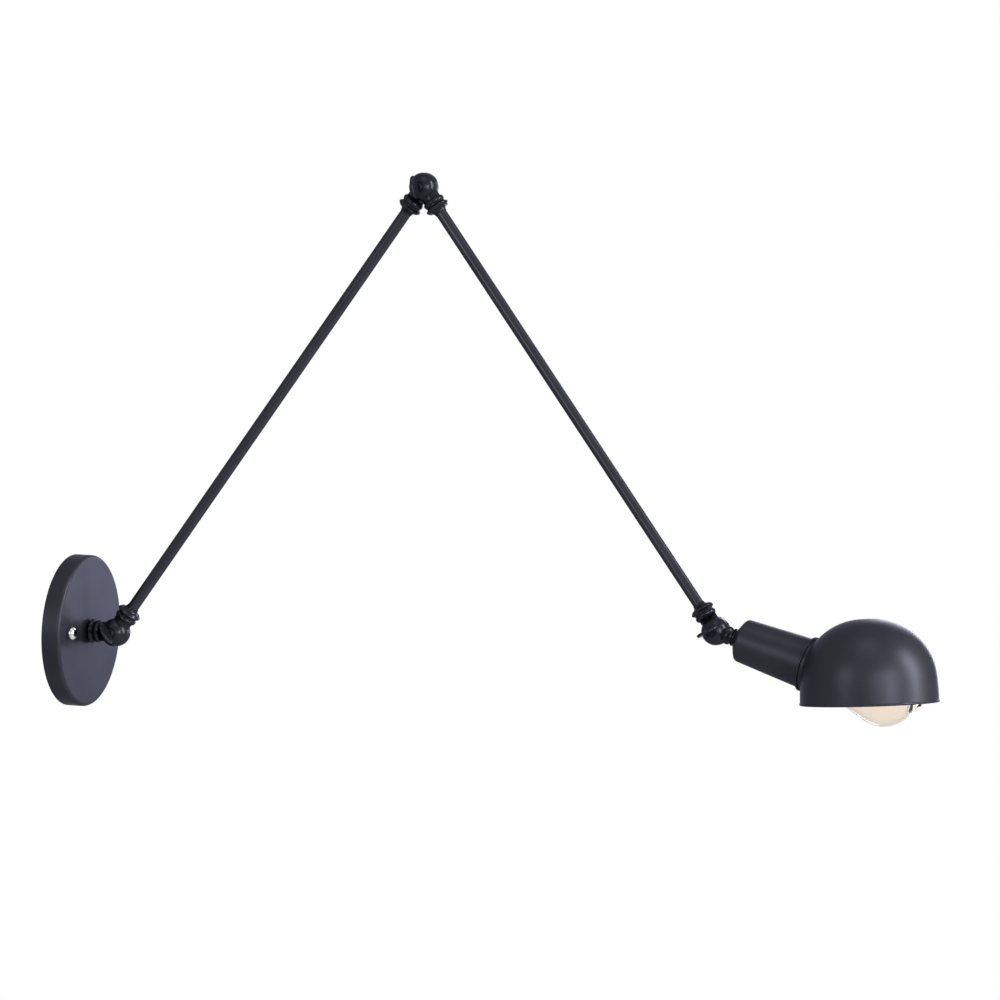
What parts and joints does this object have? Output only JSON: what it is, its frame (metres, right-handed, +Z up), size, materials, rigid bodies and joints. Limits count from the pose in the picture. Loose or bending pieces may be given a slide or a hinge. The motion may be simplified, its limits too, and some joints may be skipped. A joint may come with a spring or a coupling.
{
  "type": "swing arm wall lamp",
  "caption": "Black swing arm wall lamp: round wall plate, slim tube arms on ball swivels with oval thumb screws, and a domed metal shade over a clear teardrop bulb.",
  "frame": {"origin": "centre of the wall plate's back, on the wall, midway between the two wall screws", "axes": "+X out of the wall, +Z up the wall, +Y to the left for someone who faces the wall; the arms lie in the plane Y = 0 and the thumb screws face -Y"},
  "size_m": [0.7712, 0.127, 0.4606],
  "materials": {
    "black_coat": "satin powder coat",
    "bright_chrome": "polished",
    "zinc_steel": "zinc plated",
    "socket_brass": "plain",
    "porcelain": "glazed",
    "terminal_plastic": "moulded",
    "lead_rubber": "matt",
    "washer_fibre": "matt",
    "clear_glass": "clear with a warm tint",
    "filament_wire": "drawn wire"
  },
  "bodies": {
    "base": {"canopy": "black_coat", "crossbar": "zinc_steel", "canopy_studs": "zinc_steel", "cap_nuts": "bright_chrome", "ground_screw": "socket_brass", "terminal_block": "terminal_plastic"},
    "turret": {"base_knuckle": "black_coat", "base_nipple": "zinc_steel", "seat_washer": "zinc_steel", "base_lock_nut": "zinc_steel", "base_lead": "lead_rubber", "base_friction_washer": "washer_fibre"},
    "lower_arm": {"lower_arm_foot_knuckle": "black_coat", "lower_arm_tube": "black_coat", "lower_arm_top_knuckle": "black_coat", "lower_arm_lead": "lead_rubber", "elbow_friction_washer": "washer_fibre"},
    "outer_arm": {"outer_arm_foot_knuckle": "black_coat", "outer_arm_tube": "black_coat", "outer_arm_top_knuckle": "black_coat", "outer_arm_lead": "lead_rubber", "head_friction_washer": "washer_fibre"},
    "head": {"head_knuckle": "black_coat", "head_nipple": "zinc_steel", "head_lead": "lead_rubber", "head_lock_nut": "zinc_steel", "lampholder_cup": "black_coat", "lampholder_body": "porcelain", "screw_shell": "socket_brass", "centre_contact": "socket_brass", "trim_ring": "black_coat", "ring_nut": "black_coat", "shade": "black_coat", "bulb_glass": "clear_glass", "bulb_cap": "socket_brass", "bulb_contact": "terminal_plastic", "bulb_stem": "clear_glass", "filament": "filament_wire"},
    "base_thumb": {"base_thumb_screw": "black_coat"},
    "elbow_thumb": {"elbow_thumb_screw": "black_coat"},
    "head_thumb": {"head_thumb_screw": "black_coat"}
  },
  "joints": [
    {"name": "wall_plate_turn", "type": "hinge", "parent": "base", "child": "turret", "pos_m": [0, 0, 0], "axis": [1, 0, 0], "range_deg": [-90, 90]},
    {"name": "base_tilt", "type": "hinge", "parent": "turret", "child": "lower_arm", "pos_m": [0.0395, 0, 0], "axis": [0, -1, 0], "range_deg": [-145.5, 34.5]},
    {"name": "elbow_bend", "type": "hinge", "parent": "lower_arm", "child": "outer_arm", "pos_m": [0.30429, 0, 0.38528], "axis": [0, 1, 0], "range_deg": [-223.7, 8.3]},
    {"name": "head_tilt", "type": "hinge", "parent": "outer_arm", "child": "head", "pos_m": [0.57765, 0, 0.03287], "axis": [0, -1, 0], "range_deg": [-152.8, 79.2]},
    {"name": "base_thumb_turn", "type": "hinge", "parent": "turret", "child": "base_thumb", "pos_m": [0.0395, 0, 0], "axis": [0, -1, 0], "range_deg": [0, 360]},
    {"name": "elbow_thumb_turn", "type": "hinge", "parent": "lower_arm", "child": "elbow_thumb", "pos_m": [0.30429, 0, 0.38528], "axis": [0, -1, 0], "range_deg": [0, 360]},
    {"name": "head_thumb_turn", "type": "hinge", "parent": "outer_arm", "child": "head_thumb", "pos_m": [0.57765, 0, 0.03287], "axis": [0, -1, 0], "range_deg": [0, 360]}
  ]
}
